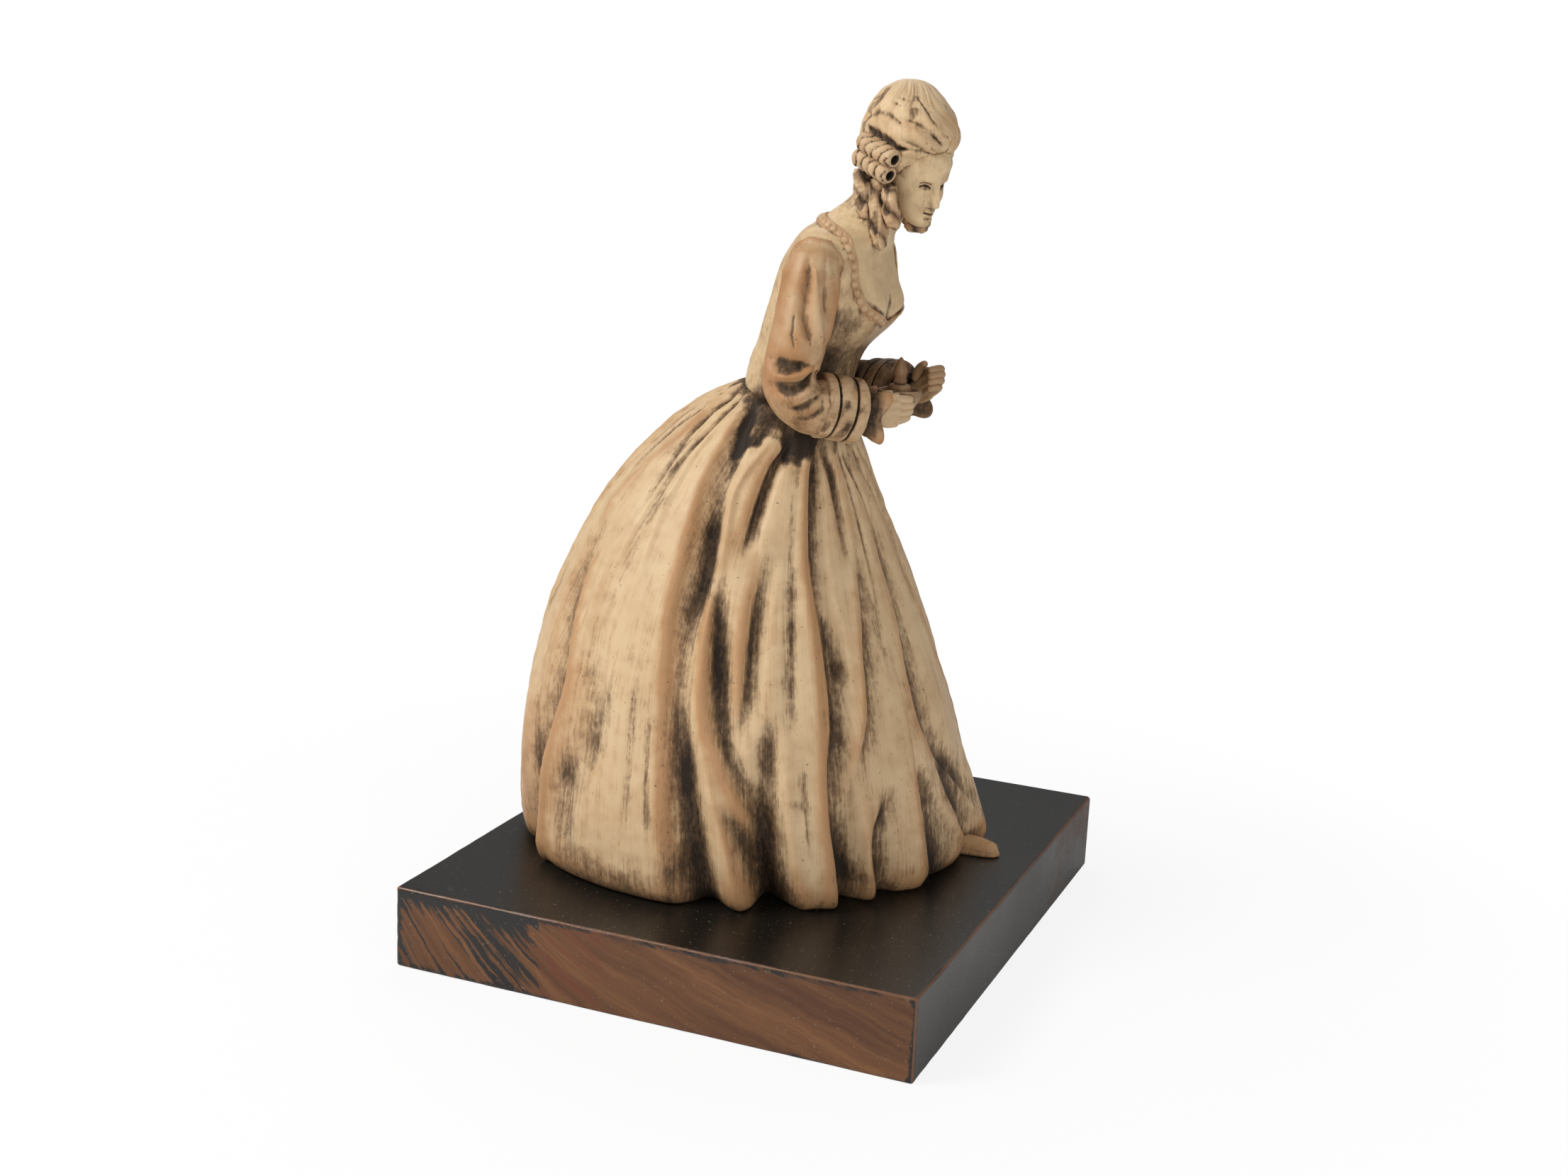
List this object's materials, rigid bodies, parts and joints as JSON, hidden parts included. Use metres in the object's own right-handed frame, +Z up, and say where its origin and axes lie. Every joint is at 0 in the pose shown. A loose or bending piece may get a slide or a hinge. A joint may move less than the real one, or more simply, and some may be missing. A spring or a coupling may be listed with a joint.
{
  "type": "terracotta figure on a plinth",
  "caption": "Terracotta lady in a wide gathered skirt, leaning forward and shielding the flame of a small lamp with one hand, on a low square black wooden plinth.",
  "frame": {"origin": "middle of the plinth's underside", "axes": "+Z up; the figure looks along -Y and its right arm is on the -X side"},
  "size_m": [0.276, 0.246, 0.3967],
  "materials": {
    "terracotta_pale": "pale cream and tan patina with brown wash in the folds, satin",
    "terracotta_face": "smooth pale cream patina, satin",
    "terracotta_tan": "orange tan patina with dark brown in the hollows, satin",
    "terracotta_brown": "dark brown patina, satin",
    "plinth_black_paint": "worn satin black paint over brown wood",
    "fixing_steel": "plain zinc-coated steel"
  },
  "bodies": {
    "root": {"plinth_block": "plinth_black_paint", "fixing_screw": "fixing_steel", "fixing_washer": "fixing_steel", "skirt": "terracotta_pale", "shoe_toe": "terracotta_pale", "bodice": "terracotta_face", "neckline_trim": "terracotta_tan", "head": "terracotta_face", "coiffure": "terracotta_pale", "side_curl_right_upper": "terracotta_tan", "side_curl_right_lower": "terracotta_tan", "side_curl_left_upper": "terracotta_tan", "side_curl_left_lower": "terracotta_tan", "ringlet_right_back": "terracotta_tan", "ringlet_right_middle": "terracotta_tan", "ringlet_right_front": "terracotta_tan", "ringlet_left_back": "terracotta_tan", "ringlet_left_middle": "terracotta_tan", "ringlet_left_front": "terracotta_tan", "sleeve_right": "terracotta_tan", "cuff_right": "terracotta_tan", "frill_right": "terracotta_tan", "hand_right": "terracotta_tan", "sleeve_left": "terracotta_brown", "cuff_left": "terracotta_brown", "frill_left": "terracotta_brown", "hand_left": "terracotta_brown", "lamp_dish": "terracotta_brown", "lamp_flame": "terracotta_brown"}
  },
  "joints": []
}
